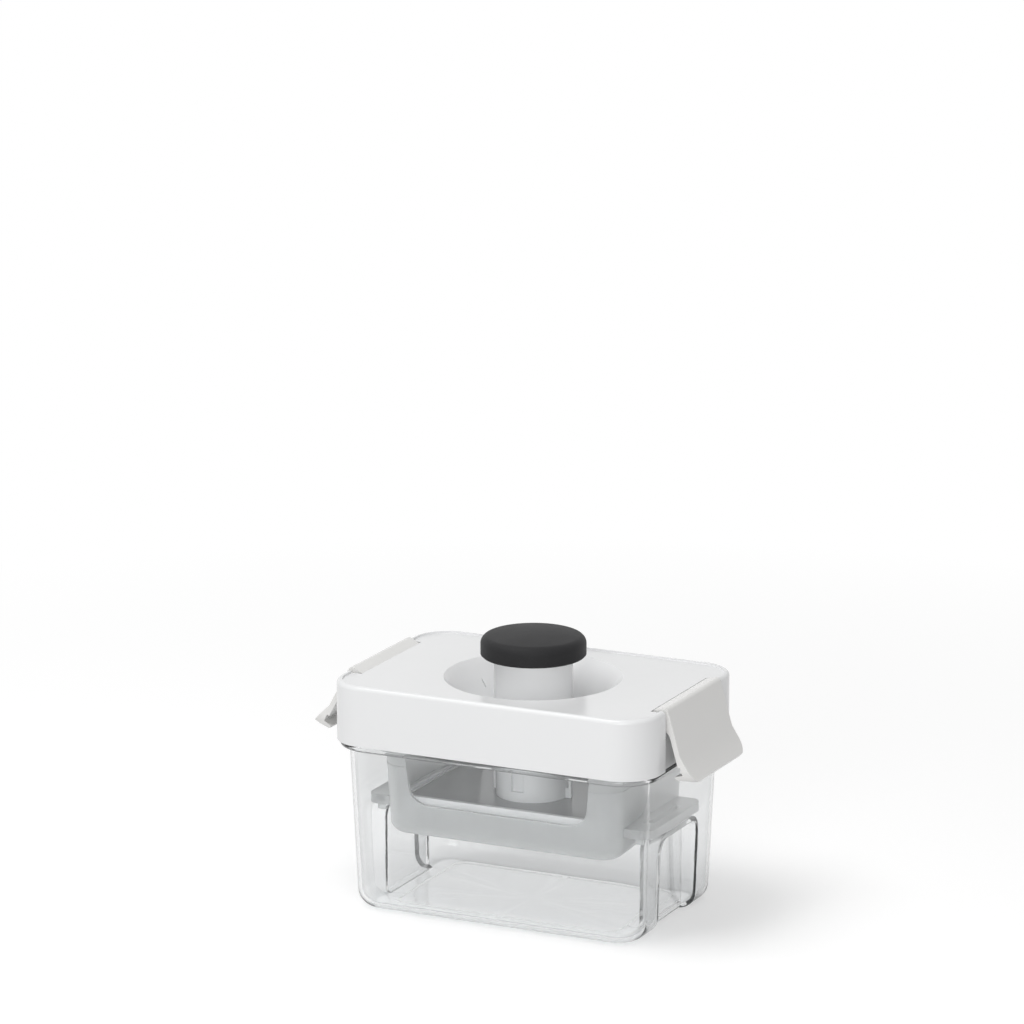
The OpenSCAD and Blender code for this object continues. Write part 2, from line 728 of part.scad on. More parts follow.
module knob_stem() {
    color([0.96, 0.96, 0.96]) {
        difference() {
            union() {
                translate([0, 0, stem_z]) cylinder(r = stem_r, h = core_z - stem_z);
                translate([0, 0, knob_z]) cylinder(r = core_r, h = core_h);
                intersection() {
                    translate([0, 0, stem_z]) cylinder(r = bore_r + catch_out, h = catch_h);
                    translate([0, 0, stem_z]) cube([catch_wid, 4 * stem_r, 4 * catch_h], center = true);
                }
            }
            translate([0, 0, stem_z - cut]) cylinder(r = stem_in, h = core_z - core_t - stem_z + cut);
        }
        intersection() {
            difference() {
                translate([0, 0, stem_z]) cylinder(r = stem_in + stem_wall / 2, h = key_h);
                translate([0, 0, stem_z - cut]) cylinder(r = slot_r + slide_gap, h = key_h + 2 * cut);
            }
            translate([0, 0, stem_z]) cube([tube_slot - 2 * slide_gap, 4 * stem_r, 4 * key_h],
                                           center = true);
        }
    }
}

module spring_seat() {
    color([0.85, 0.86, 0.88]) difference() {
        union() {
            translate([0, 0, spring_top]) cylinder(r = stem_in - slide_gap, h = seat_t - seat_gap);
            translate([0, 0, spring_top - seat_boss])
                cylinder(r = spring_r - wire_r - 2 * slide_gap, h = seat_boss + seat_t / 2);
        }
        translate([0, 0, spring_top - seat_boss - cut])
            cylinder(r = spring_r / 2, h = seat_boss + seat_t + 2 * cut);
    }
}

// A compression spring with closed ends: one tube swept along a coil whose pitch eases to a
// wire's width over the first and last turns
coil_steps = 10;
coil_z0 = tube_z + wire_r + seat_gap;
coil_z1 = spring_top - wire_r - seat_gap;
dead_rise = 2 * wire_r + coil_gap;
free_turns = spring_turns - 2;
free_rise = (coil_z1 - coil_z0 - 2 * dead_rise) / free_turns;
function coil_height(t) =
    t < 1 ? t * dead_rise
          : t > spring_turns - 1 ? coil_z1 - coil_z0 - (spring_turns - t) * dead_rise
                                 : dead_rise + (t - 1) * free_rise;
function coil_ring(t, sides = 6) =
    let (a = 360 * t, c = [spring_r * cos(a), spring_r * sin(a), coil_z0 + coil_height(t)])
    [for (k = [0 : sides - 1]) let (b = 360 * k / sides)
        c + wire_r * [cos(b) * cos(a), cos(b) * sin(a), sin(b)]];
echo(least_gap_between_turns = min(dead_rise, free_rise) - 2 * wire_r);

module spring() {
    sides = 6;
    rings = coil_steps * spring_turns;
    points = [for (i = [0 : rings]) each coil_ring(i / coil_steps, sides)];
    skin = [for (i = [0 : rings - 1], k = [0 : sides - 1])
        let (a = i * sides + k, b = i * sides + (k + 1) % sides)
        each [[a, b, b + sides], [a, b + sides, a + sides]]];
    first = [for (k = [1 : sides - 2]) [0, k + 1, k]];
    last = [for (k = [1 : sides - 2]) [rings * sides, rings * sides + k, rings * sides + k + 1]];
    color([0.7, 0.71, 0.73]) polyhedron(points, concat(skin, first, last));
}

module press_tube() {
    root = tube_wall / 2;
    color([0.95, 0.95, 0.95]) {
        difference() {
            translate([0, 0, tube_z]) cylinder(r = tube_r, h = tube_top - tube_z);
            translate([0, 0, tube_z - cut]) cylinder(r = tube_in, h = tube_top - tube_z + 2 * cut);
            difference() {
                translate([-tube_slot / 2, -2 * tube_r, slot_z])
                    cube([tube_slot, 4 * tube_r, slot_top - slot_z]);
                translate([0, 0, slot_z - cut]) cylinder(r = slot_r, h = slot_top - slot_z + 2 * cut);
            }
        }
        both_ends() {
            translate([blade_in, -blade_t / 2, tube_z]) cube([blade_d, blade_t, blade_top - tube_z]);
            translate([tube_r - root, -blade_t / 2, tube_z])
                cube([blade_out - tube_r + root, blade_t, slot_z - tube_z]);
        }
    }
}

// A slab inside the press plate, set in from its edge
module plate_inset(in, z0, z1) {
    slab(plate_len - 2 * in, plate_wid - 2 * in, plate_r - in, z0, z1);
}

module press_plate() {
    color([0.96, 0.96, 0.96]) difference() {
        plate_inset(0, plate_z, plate_z + plate_h);
        plate_inset(plate_rim, tube_z + step_h, plate_z + plate_h + cut);
        plate_inset(plate_rim + plate_step, pad_z, plate_z + plate_h + cut);
    }
}

module plate_pad() {
    color([0.68, 0.69, 0.7]) plate_inset(plate_rim + plate_step, pad_z, tube_z);
}

container();
basket();
lid_shell();
guide_collar();
latch_left();
latch_right();
latch_pin_left();
latch_pin_right();
knob_grip();
knob_stem();
spring_seat();
spring();
press_tube();
press_plate();
plate_pad();
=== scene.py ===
"""A tofu press dressed for its portrait: a finish for every piece, finer forms for the clear tub and the
spring, a pale stage and the camera. Metres, Z up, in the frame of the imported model."""

import math

import bpy
import numpy as np
from bpy.props import FloatProperty, FloatVectorProperty, PointerProperty
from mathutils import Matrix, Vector


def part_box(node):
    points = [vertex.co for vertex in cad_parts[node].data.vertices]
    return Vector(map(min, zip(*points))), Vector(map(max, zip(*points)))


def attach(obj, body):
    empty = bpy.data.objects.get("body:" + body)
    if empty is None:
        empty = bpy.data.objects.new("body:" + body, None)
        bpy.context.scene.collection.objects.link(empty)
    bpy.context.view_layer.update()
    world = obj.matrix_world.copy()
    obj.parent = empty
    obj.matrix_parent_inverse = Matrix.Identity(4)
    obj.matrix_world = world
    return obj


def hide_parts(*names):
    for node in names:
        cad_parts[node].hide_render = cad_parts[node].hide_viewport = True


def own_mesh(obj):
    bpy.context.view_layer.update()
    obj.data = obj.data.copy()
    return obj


bl_info = {
    "name": "Tofu press",
    "version": (1, 0, 0),
    "blender": (4, 5, 0),
    "location": "View3D > Sidebar > Tofu press",
    "description": "Dresses the pieces of a tofu press and sets its stage, light and camera",
    "category": "Object",
}

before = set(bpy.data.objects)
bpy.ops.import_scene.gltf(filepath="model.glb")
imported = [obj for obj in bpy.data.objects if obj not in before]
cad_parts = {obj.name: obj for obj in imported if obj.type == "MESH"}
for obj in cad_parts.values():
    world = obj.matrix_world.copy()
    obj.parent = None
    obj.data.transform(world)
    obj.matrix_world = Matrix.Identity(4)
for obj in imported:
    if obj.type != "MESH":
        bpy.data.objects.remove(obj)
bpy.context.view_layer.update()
MM = 0.001
MERGE = 0.01 * MM  # corners of loose triangles closer than this are one
SHARP = math.radians(30)  # folds above this angle are edges
EDGE_STEPS = 3  # steps across a rounded edge
CORNER_STEPS = 18  # steps round each corner of the tub
FINE = 0.4 * MM  # spacing of the tub's rings and columns along the outline of a recess
BEFORE = 2 * MM  # how far before a recess's round corner the fine spacing starts
PAST_TOP = 4 * MM  # how far above a recess it goes on
PAST_SIDE = 3 * MM  # how far beside a recess it goes on
OUTER_EASE = 1.6 * MM  # width over which a recess sinks in, on the tub's outer face
INNER_EASE = 1.0 * MM  # the same on its inner face
FOOT = 3 * MM  # radius with which a recess draws back at the underside and at the floor
LINE_RINGS = 4  # rings of the raised line on the tub's floor
SLOPE = 0.3 * MM  # width of each sloping side of that line
END_BREAK = np.array([1.15, 1.6])  # columns where the line breaks at the tub's ends, in halves of its gap
SIDE_BREAK = np.array([1.2, 1.7])  # the same at its long sides
END_NEXT = 5 * MM  # the next column out, at the ends
SIDE_NEXT = 8 * MM  # the same at the long sides
COIL_STEPS = 40  # steps in a turn of the spring
COIL_SIDES = 12  # sides of the spring's wire
WHITE = (1.0, 1.0, 1.0)
FLOOR_HALF = 20.0  # half the side of the floor
PICTURE = 1024  # side of the square picture, in pixels


# -----------------------------------------------------------------------------
# Sizes and colours that a user would change


class PressFinish(bpy.types.PropertyGroup):
    """Colours of the pieces, and the rounding of their edges"""

    clear_tint: FloatVectorProperty(
        name="Clear tint",
        description="Colour of the clear tub",
        subtype="COLOR",
        default=(0.957, 0.963, 0.966),
    )
    frosted_tint: FloatVectorProperty(
        name="Frosted tint",
        description="Colour of the frosted basket",
        subtype="COLOR",
        default=(0.93, 0.94, 0.94),
    )
    white: FloatVectorProperty(
        name="White",
        description="Colour of the lid and the plunger",
        subtype="COLOR",
        default=(0.86, 0.865, 0.87),
    )
    latch_white: FloatVectorProperty(
        name="Latch white",
        description="Colour of the latches",
        subtype="COLOR",
        default=(0.84, 0.835, 0.82),
    )
    grip: FloatVectorProperty(
        name="Grip", description="Colour of the soft knob", subtype="COLOR", default=(0.02, 0.02, 0.021)
    )
    inlay: FloatVectorProperty(
        name="Inlay",
        description="Colour of the press plate's inlay",
        subtype="COLOR",
        default=(0.40, 0.405, 0.41),
    )
    steel: FloatVectorProperty(
        name="Steel",
        description="Colour of the pins and the spring",
        subtype="COLOR",
        default=(0.62, 0.63, 0.65),
    )
    edge: FloatProperty(
        name="Edge",
        description="Width of the rounding on moulded edges",
        unit="LENGTH",
        default=0.35 * MM,
    )


class PressTub(bpy.types.PropertyGroup):
    """Sizes of the clear tub"""

    wall: FloatProperty(
        name="Wall", description="Thickness of the tub's wall", unit="LENGTH", default=2.2 * MM
    )
    floor: FloatProperty(
        name="Floor", description="Thickness of the tub's floor", unit="LENGTH", default=2.5 * MM
    )
    rim: FloatProperty(
        name="Rim", description="Height of the rim above the flange", unit="LENGTH", default=6 * MM
    )
    flange: FloatProperty(
        name="Flange", description="Thickness of the flange", unit="LENGTH", default=3.6 * MM
    )
    flange_out: FloatProperty(
        name="Flange reach",
        description="How far the flange stands out from the rim",
        unit="LENGTH",
        default=3.5 * MM,
    )
    body_in: FloatProperty(
        name="Body inset",
        description="How far the body is set in from the rim",
        unit="LENGTH",
        default=1.5 * MM,
    )
    step: FloatProperty(
        name="Step", description="Depth of the step inside the rim", unit="LENGTH", default=1 * MM
    )
    lean: FloatProperty(
        name="Lean", description="How far the walls lean in to the base", unit="LENGTH", default=3 * MM
    )
    edge: FloatProperty(
        name="Edge", description="Radius of the bottom edge", unit="LENGTH", default=10 * MM
    )
    corner: FloatProperty(
        name="Corner", description="Corner radius of the rim", unit="LENGTH", default=18 * MM
    )
    recess_width: FloatProperty(
        name="Recess width", description="Width of each finger recess", unit="LENGTH", default=48 * MM
    )
    recess_top: FloatProperty(
        name="Recess top", description="Height of each finger recess", unit="LENGTH", default=52 * MM
    )
    recess_depth: FloatProperty(
        name="Recess depth", description="Depth of each finger recess", unit="LENGTH", default=10.5 * MM
    )
    recess_corner: FloatProperty(
        name="Recess corner",
        description="Radius at the top of each finger recess",
        unit="LENGTH",
        default=8 * MM,
    )
    line_length: FloatProperty(
        name="Line length",
        description="Length over the outside of the raised floor line",
        unit="LENGTH",
        default=132 * MM,
    )
    line_width: FloatProperty(
        name="Line width",
        description="Width over the outside of the raised floor line",
        unit="LENGTH",
        default=84 * MM,
    )
    line: FloatProperty(
        name="Line", description="Width of the raised floor line", unit="LENGTH", default=2.4 * MM
    )
    line_height: FloatProperty(
        name="Line height", description="Height of the raised floor line", unit="LENGTH", default=0.6 * MM
    )
    line_corner: FloatProperty(
        name="Line corner",
        description="Corner radius of the raised floor line",
        unit="LENGTH",
        default=9 * MM,
    )
    line_gap: FloatProperty(
        name="Line gap",
        description="Break in the middle of each side of the line",
        unit="LENGTH",
        default=3 * MM,
    )


class PressSpring(bpy.types.PropertyGroup):
    """Sizes of the spring"""

    wire: FloatProperty(
        name="Wire", description="Radius of the spring's wire", unit="LENGTH", default=0.9 * MM
    )
    turns: FloatProperty(name="Turns", description="Turns of the spring", default=10.0)
    gap: FloatProperty(
        name="Gap",
        description="Gap between the closed turns at each end",
        unit="LENGTH",
        default=0.5 * MM,
    )
    stroke: FloatProperty(
        name="Stroke",
        description="How much shorter the spring gets as the plate goes up",
        unit="LENGTH",
        default=27.5 * MM,
    )


class PressStage(bpy.types.PropertyGroup):
    """Floor, light and camera"""

    floor_tone: FloatVectorProperty(
        name="Floor", description="Colour of the floor", subtype="COLOR", default=(0.8, 0.8, 0.8)
    )
    key_power: FloatProperty(
        name="Key", description="Power of the main softbox", unit="POWER", default=14.0
    )
    fill_power: FloatProperty(
        name="Fill", description="Power of the side softbox", unit="POWER", default=6.5
    )
    sky: FloatProperty(name="Sky", description="Strength of the room's plain light", default=0.44)
    glow: FloatProperty(
        name="Floor glow", description="Light that the near floor adds where it is seen", default=0.36
    )
    white_from: FloatProperty(
        name="White from",
        description="Distance at which the floor starts to go pure white",
        unit="LENGTH",
        default=0.3,
    )
    white_to: FloatProperty(
        name="White to",
        description="Distance at which the floor is pure white",
        unit="LENGTH",
        default=0.8,
    )
    distance: FloatProperty(
        name="Distance", description="Camera's distance from the aim point", unit="LENGTH", default=2.964
    )
    focal_px: FloatProperty(
        name="Focal length", description="Focal length in picture pixels", default=5600.0
    )
    yaw: FloatProperty(
        name="Yaw",
        description="Camera's turn to the right of the front",
        subtype="ANGLE",
        default=math.radians(25.5),
    )
    pitch: FloatProperty(
        name="Pitch", description="Camera's downward slope", subtype="ANGLE", default=math.radians(13.9)
    )
    aim_z: FloatProperty(
        name="Aim", description="Height that the camera aims at", unit="LENGTH", default=0.216
    )
    aim_px: FloatProperty(
        name="Offset",
        description="How far right of the middle the object stands, in pixels",
        default=21.5,
    )


# -----------------------------------------------------------------------------
# Shader maths


class Wire:
    """A socket of a finish. Arithmetic between wires and numbers adds Math nodes."""

    def __init__(self, finish, socket):
        self.finish = finish
        self.socket = socket

    def _math(self, operation, *values):
        return self.finish.node("ShaderNodeMath", {"operation": operation}, dict(enumerate(values)))

    def __add__(self, other):
        return self._math("ADD", self, other)

    def __sub__(self, other):
        return self._math("SUBTRACT", self, other)

    def __rsub__(self, other):
        return self._math("SUBTRACT", other, self)

    def __mul__(self, other):
        return self._math("MULTIPLY", self, other)

    def __truediv__(self, other):
        return self._math("DIVIDE", self, other)

    def __rtruediv__(self, other):
        return self._math("DIVIDE", other, self)

    def __pow__(self, other):
        return self._math("POWER", self, other)

    __radd__ = __add__
    __rmul__ = __mul__

    def clamp(self):
        """This value, kept between 0 and 1."""
        return self.finish.node("ShaderNodeClamp", {}, {"Value": self})


class Finish:
    """A procedural material or world, built node by node."""

    def __init__(self, name, owner=None, output="ShaderNodeOutputMaterial"):
        self.material = owner or bpy.data.materials.new(name)
        self.material.use_nodes = True
        self.tree = self.material.node_tree
        self.tree.nodes.clear()
        self.output = self.tree.nodes.new(output)

    def node(self, kind, settings, values, output=0):
        """Adds a node: its settings first, then the value or link of each input. Returns one of its
        outputs as a Wire."""
        made = self.tree.nodes.new(kind)
        for key, value in settings.items():
            setattr(made, key, value)
        for key, value in values.items():
            self.plug(made.inputs[key], value)
        return Wire(self, made.outputs[output])

    def span(self, value, low, high):
        """0 where value is low or less, 1 where it is high or more, and even between."""
        return self.node("ShaderNodeMapRange", {}, {"Value": value, "From Min": low, "From Max": high})

    def plug(self, socket, value):
        """Links a wire to a socket, or sets the socket's own value."""
        if isinstance(value, Wire):
            self.tree.links.new(value.socket, socket)
        elif hasattr(value, "__len__") and len(value) == 3 and socket.type == "RGBA":
            socket.default_value = (*value, 1.0)
        else:
            socket.default_value = value

    def place(self, stretch=(1.0, 1.0, 1.0)):
        """Object coordinates in metres, each axis multiplied by its part of stretch."""
        at = self.node("ShaderNodeTexCoord", {}, {}, "Object")
        return self.node("ShaderNodeMapping", {}, {"Vector": at, "Scale": stretch})

    def noise(self, size, detail, stretch=(1.0, 1.0, 1.0)):
        """Noise from 0 to 1 whose blotches are about size metres across."""
        return self.node(
            "ShaderNodeTexNoise", {}, {"Vector": self.place(stretch), "Scale": 1.0 / size, "Detail": detail}
        )

    def grain(self, size):
        """Fine pebbles about size metres across: the distance from each cell's middle."""
        return self.node(
            "ShaderNodeTexVoronoi", {}, {"Vector": self.place(), "Scale": 1.0 / size}, "Distance"
        )

    def tint(self, factor, low, high):
        """A colour that goes from low to high with factor. The node's inputs 6 and 7 and its output 2 are its
        colours."""
        return self.node("ShaderNodeMix", {"data_type": "RGBA"}, {"Factor": factor, 6: low, 7: high}, 2)

    def bump(self, height, depth):
        """A bump whose full height is depth metres."""
        return self.node("ShaderNodeBump", {}, {"Height": height, "Distance": depth}, "Normal")

    def principled(self, values):
        """The general shader, with the given values and links."""
        return self.node("ShaderNodeBsdfPrincipled", {}, values)

    def mix(self, factor, first, second):
        """A shader that goes from first to second with factor."""
        return self.node("ShaderNodeMixShader", {}, {0: factor, 1: first, 2: second})

    def done(self, surface):
        """Links the finished shader to the output, and returns the material or world."""
        self.plug(self.output.inputs["Surface"], surface)
        return self.material


def scaled(colour, factor):
    """A colour made darker or lighter."""
    return tuple(min(1.0, channel * factor) for channel in colour)


# -----------------------------------------------------------------------------
# Finishes


def clear_plastic(tint):
    """Polished clear styrene: refracts, with faint flow waves and handling haze, and a painted shade where it
    is seen
    edge on: a dark grey layer mixed in there."""
    finish = Finish("clear_plastic")
    waves = finish.noise(30 * MM, 1.0)
    haze = finish.noise(9 * MM, 4.0)
    glass = finish.principled({
        "Base Color": finish.tint(waves, scaled(tint, 0.985), tint),
        "Roughness": haze * 0.03,
        "Transmission Weight": 1.0,
        "IOR": 1.5,
        "Normal": finish.bump(waves, 0.05 * MM),
    })
    # painted shade: a dark grey layer mixed in where the surface is seen edge on, for dark edge lines
    edge = finish.node("ShaderNodeLayerWeight", {}, {"Blend": 0.5}, "Facing")
    line = finish.principled({"Base Color": (0.2, 0.21, 0.215), "Roughness": 0.12})
    body = finish.mix((edge ** 4.0) * 0.7 + 0.02, glass, line)
    through = finish.node("ShaderNodeBsdfTransparent", {}, {"Color": (0.8, 0.815, 0.82)})
    shadow = finish.node("ShaderNodeLightPath", {}, {}, "Is Shadow Ray")
    return finish.done(finish.mix(shadow, body, through))


def frosted_plastic(tint):
    """Translucent moulded plastic: hazy, with a thin gloss, milkier where it is seen edge on, and lighter
    there as a painted highlight.
    """
    finish = Finish("frosted_plastic")
    cloud = finish.noise(14 * MM, 3.0)
    mist = finish.noise(1.2 * MM, 2.0)
    hazy = finish.principled({
        "Base Color": finish.tint(cloud, scaled(tint, 0.97), tint),
        "Roughness": 0.16 + mist * 0.1,
        "Transmission Weight": 1.0,
        "IOR": 1.46,
        "Normal": finish.bump(mist, 0.02 * MM),
    })
    edge = finish.node("ShaderNodeLayerWeight", {}, {"Blend": 0.4}, "Facing")
    # painted highlight: this milky layer's colour turns lighter where the surface is seen edge on
    milk_and_painted_highlight = finish.principled({
        "Base Color": finish.tint((cloud * 0.3 + edge * 0.9).clamp(), scaled(tint, 0.88), tint),
        "Roughness": 0.2,
        "Coat Weight": 0.4,
    })
    # milkier where the surface is seen edge on, partly as a painted highlight, since that layer is lighter
    # there
    body = finish.mix((0.34 + edge * 0.35).clamp(), hazy, milk_and_painted_highlight)
    through = finish.node("ShaderNodeBsdfTransparent", {}, {"Color": (0.75, 0.75, 0.75)})
    shadow = finish.node("ShaderNodeLightPath", {}, {}, "Is Shadow Ray")
    return finish.done(finish.mix(shadow, body, through))


def gloss_plastic(name, colour, roughness=0.2):
    """Opaque gloss moulding: an even colour with slight flow marks, a trace of orange peel and handling
    haze."""
    finish = Finish(name)
    flow = finish.noise(40 * MM, 2.0, stretch=(1.0, 1.0, 0.4))
    haze = finish.noise(7 * MM, 5.0)
    peel = finish.noise(2.2 * MM, 1.0)
    return finish.done(finish.principled({
        "Base Color": finish.tint(flow, scaled(colour, 0.975), colour),
        "Roughness": roughness * 0.8 + haze * (roughness * 0.4),
        "Normal": finish.bump(peel, 0.008 * MM),
    }))


def soft_grip(colour):
    """Soft-touch elastomer: a fine pebble, patches that shine a little more or less, and a little dust."""
    finish = Finish("soft_grip")
    pebble = finish.grain(0.55 * MM)
    patch = finish.noise(12 * MM, 3.0)
    dust = finish.span(finish.noise(0.9 * MM, 3.0), 0.62, 0.8)
    return finish.done(finish.principled({
        "Base Color": finish.tint(dust * 0.35 + patch * 0.25, colour, scaled(colour, 2.2)),
        "Roughness": 0.5 + patch * 0.12,
        "Specular IOR Level": 0.16,
        "Normal": finish.bump(pebble, 0.06 * MM),
    }))


def drawn_steel(colour):
    """Drawn stainless wire: fine lines that run along Y and small changes of shine."""
    finish = Finish("drawn_steel")
    lines = finish.noise(0.25 * MM, 2.0, stretch=(1.0, 0.06, 1.0))
    spot = finish.noise(5 * MM, 3.0)
    return finish.done(finish.principled({
        "Base Color": finish.tint(spot, scaled(colour, 0.9), colour),
        "Metallic": 1.0,
        "Roughness": 0.22 + lines * 0.14,
        "Normal": finish.bump(lines, 0.01 * MM),
    }))


# -----------------------------------------------------------------------------
# Helpers for pieces


def smoother(angle):
    """Geometry nodes that merge a mesh's loose triangles, shade it smooth and mark as sharp each edge whose
    faces meet at more than angle."""
    group = bpy.data.node_groups.new("smoother", "GeometryNodeTree")
    for way in ("INPUT", "OUTPUT"):
        group.interface.new_socket("Geometry", in_out=way, socket_type="NodeSocketGeometry")
    start, merge, fold, below, faces, edges, end = (group.nodes.new(kind) for kind in (
        "NodeGroupInput", "GeometryNodeMergeByDistance", "GeometryNodeInputMeshEdgeAngle",
        "FunctionNodeCompare", "GeometryNodeSetShadeSmooth", "GeometryNodeSetShadeSmooth", "NodeGroupOutput",
    ))
    merge.inputs["Distance"].default_value = MERGE
    below.operation = "LESS_THAN"
    below.inputs[1].default_value = angle
    edges.domain = "EDGE"
    for source, target in (
        (start.outputs[0], merge.inputs["Geometry"]),
        (merge.outputs["Geometry"], faces.inputs["Geometry"]),
        (faces.outputs["Geometry"], edges.inputs["Geometry"]),
        (fold.outputs["Unsigned Angle"], below.inputs[0]),
        (below.outputs["Result"], edges.inputs["Shade Smooth"]),
        (edges.outputs["Geometry"], end.inputs[0]),
    ):
        group.links.new(source, target)
    return group


def round_edges(piece, width):
    """Rounds the folds of a piece that are sharper than SHARP."""
    bevel = piece.modifiers.new("edge", "BEVEL")
    bevel.width = width
    bevel.segments = EDGE_STEPS
    bevel.limit_method = "ANGLE"
    bevel.angle_limit = SHARP


def even_shading(piece):
    """Lets large faces set the shading of the small ones beside them."""
    even = piece.modifiers.new("even", "WEIGHTED_NORMAL")
    even.keep_sharp = True


def dress(node, material, edge=None):
    """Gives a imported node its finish, and modifiers that merge it, shade it smooth and round its edges.
    Its own vertices stay as they are."""
    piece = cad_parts[node]
    piece.data.materials.clear()
    piece.data.materials.append(material)
    smooth = piece.modifiers.new("smooth", "NODES")
    smooth.node_group = bpy.data.node_groups.get("smoother") or smoother(SHARP)
    if edge:
        round_edges(piece, edge)
    even_shading(piece)


def arc(centre, radius, start, stop, steps):
    """Points (across, up) of an arc: centre + radius (cos a, sin a), for a from start to stop in degrees, in
    steps equal parts."""
    turn = np.radians(np.linspace(start, stop, steps + 1))
    return np.stack([centre[0] + radius * np.cos(turn), centre[1] + radius * np.sin(turn)], axis=1)


def smoothstep(value):
    """0 below 0, 1 above 1 and 3 t^2 - 2 t^3 between."""
    value = np.clip(value, 0.0, 1.0)
    return value * value * (3.0 - 2.0 * value)


def columns(ends, sides):
    """Columns round a rectangle with round corners, anticlockwise from the +X end. Each has a place (u, v) on
    the rectangle of the corners' middles, from -1 to 1 both ways, and a direction phi. A ring of half sizes
    (a, b) and corner radius r then has the points ((a - r) u + r cos phi, (b - r) v + r sin phi)."""
    bend = np.linspace(0, 90, CORNER_STEPS + 1)[1:-1]
    on = np.ones_like(bend)
    flat_end = np.ones_like(ends)
    flat_side = np.ones_like(sides)
    u = np.concatenate([flat_end, on, sides[::-1], -on, -flat_end, -on, sides, on])
    v = np.concatenate([ends, on, flat_side, on, ends[::-1], -on, -flat_side, -on])
    phi = np.concatenate([
        0 * ends, bend, 0 * sides + 90, bend + 90, 0 * ends + 180, bend + 180, 0 * sides + 270, bend + 270,
    ])
    return u, v, np.radians(phi)


def closed_skin(name, grid, first_pole, last_pole):
    """A mesh over a grid of points, rings by columns. The columns close on themselves, and a fan of triangles
    closes each end on its pole."""
    rings, count = grid.shape[:2]
    points = np.concatenate([grid.reshape(-1, 3), [first_pole, last_pole]])
    here = np.arange(count)
    beside = (here + 1) % count
    low = (np.arange(rings - 1) * count)[:, None]
    quads = np.stack([low + here, low + beside, low + count + beside, low + count + here], axis=-1)
    last = (rings - 1) * count
    first_fan = np.stack([np.full(count, rings * count), beside, here], axis=-1)
    last_fan = np.stack([np.full(count, rings * count + 1), last + here, last + beside], axis=-1)
    mesh = bpy.data.meshes.new(name)
    faces = [*quads.reshape(-1, 4).tolist(), *first_fan.tolist(), *last_fan.tolist()]
    mesh.from_pydata(points.tolist(), [], faces)
    mesh.polygons.foreach_set("use_smooth", np.ones(len(mesh.polygons), dtype=bool))
    mesh.update()
    return mesh


def add_piece(name, mesh, material, body, slot, *nodes):
    """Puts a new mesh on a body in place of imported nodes."""
    mesh.materials.append(material)
    piece = bpy.data.objects.new(name, mesh)
    bpy.context.scene.collection.objects.link(piece)
    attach(piece, body)
    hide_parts(*nodes)
    return piece


# -----------------------------------------------------------------------------
# The clear tub


def tub_rings(tub, half_x, half_y, height):
    """Rings (half length, half width, corner radius, height) of the tub's skin: from its underside out and up
    the wall, round the flange, over the rim, down inside and over the floor to the raised line. The body's
    wall leans by lean from its bottom edge to the flange."""
    body_x = half_x - tub.flange_out - tub.body_in
    body_y = half_y - tub.flange_out - tub.body_in
    corner = tub.corner - tub.body_in
    flange_z = height - tub.rim
    under = flange_z - tub.flange
    top = tub.recess_top
    inner_edge = tub.edge - tub.wall
    nose = tub.flange / 2  # radius of the flange's outer edge
    fillet = 1.2 * MM  # radius between the wall and the flange's underside
    rim_round = 1.2 * MM  # radius of the rim's top edges
    soft = 0.5 * MM  # radius of the small corners beside the rim and its step
    rim_in = tub.step - tub.wall
    shelf = flange_z - nose

    def skin(profile, bend):
        """Rings of a profile of (offset from the wall, height) points, the lean starting at height bend."""
        offset, z = profile.T
        grow = offset + tub.lean * (np.clip((z - bend) / (flange_z - bend), 0, 1) - 1)
        return np.stack([body_x + grow, body_y + grow, corner + offset, z], axis=1)

    def wall(offset, heights):
        """Points of a profile that goes straight through the given heights."""
        return np.stack([np.full(len(heights), offset), heights], axis=1)

    fine = np.arange(top - tub.recess_corner - BEFORE, top + PAST_TOP, FINE)
    outer = np.concatenate([
        arc((-tub.edge, tub.edge), tub.edge, -90, 0, steps=12),
        wall(0, np.linspace(tub.edge, fine[0], 10)[1:-1]),
        wall(0, fine),
        wall(0, np.linspace(fine[-1], under - fillet, 8)[1:]),
        arc((fillet, under - fillet), fillet, 180, 90, steps=5)[1:],
        arc((tub.flange_out + tub.body_in - nose, under + nose), nose, -90, 90, steps=12),
        arc((tub.body_in + soft, flange_z + soft), soft, -90, -180, steps=3),
        arc((tub.body_in - rim_round, height - rim_round), rim_round, 0, 90, steps=6),
        arc((rim_in + rim_round, height - rim_round), rim_round, 90, 180, steps=6),
        arc((rim_in - soft, shelf + soft), soft, 0, -90, steps=3),
    ])
    inner = np.concatenate([
        arc((soft - tub.wall, shelf - soft), soft, 90, 180, steps=4),
        wall(-tub.wall, np.linspace(shelf - soft, fine[-1], 8)[1:-1]),
        wall(-tub.wall, fine[::-1]),
        wall(-tub.wall, np.linspace(fine[0], tub.floor + inner_edge, 10)[1:-1]),
        arc((-tub.edge, tub.floor + inner_edge), inner_edge, 0, -90, steps=10),
    ])
    inset = np.array([0.0, SLOPE, tub.line - SLOPE, tub.line])
    raised = np.array([0.0, tub.line_height, tub.line_height, 0.0])
    line = np.stack([
        tub.line_length / 2 - inset, tub.line_width / 2 - inset, tub.line_corner - inset, tub.floor + raised,
    ], axis=1)
    return skin(outer, tub.edge), np.concatenate([skin(inner, tub.floor + inner_edge), line])


def arch(y, z, half_width, top, corner, soft):
    """1 inside an arch that is open at the bottom, 0 outside, easing over soft inwards from its outline: a
    smoothstep of the distance to a rectangle with round corners."""
    across = np.abs(y) - (half_width - corner)
    up = z - (top - corner)
    outside = np.hypot(np.maximum(across, 0), np.maximum(up, 0))
    inside = np.minimum(np.maximum(across, up), 0)
    return smoothstep(-(outside + inside - corner) / soft)


def press_in(points, mask, face):
    """Moves the ends of a skin in to the plane |x| = face, by the share that mask gives."""
    x = points[..., 0]
    points[..., 0] = np.sign(x) * (np.abs(x) - mask * np.maximum(np.abs(x) - face, 0))


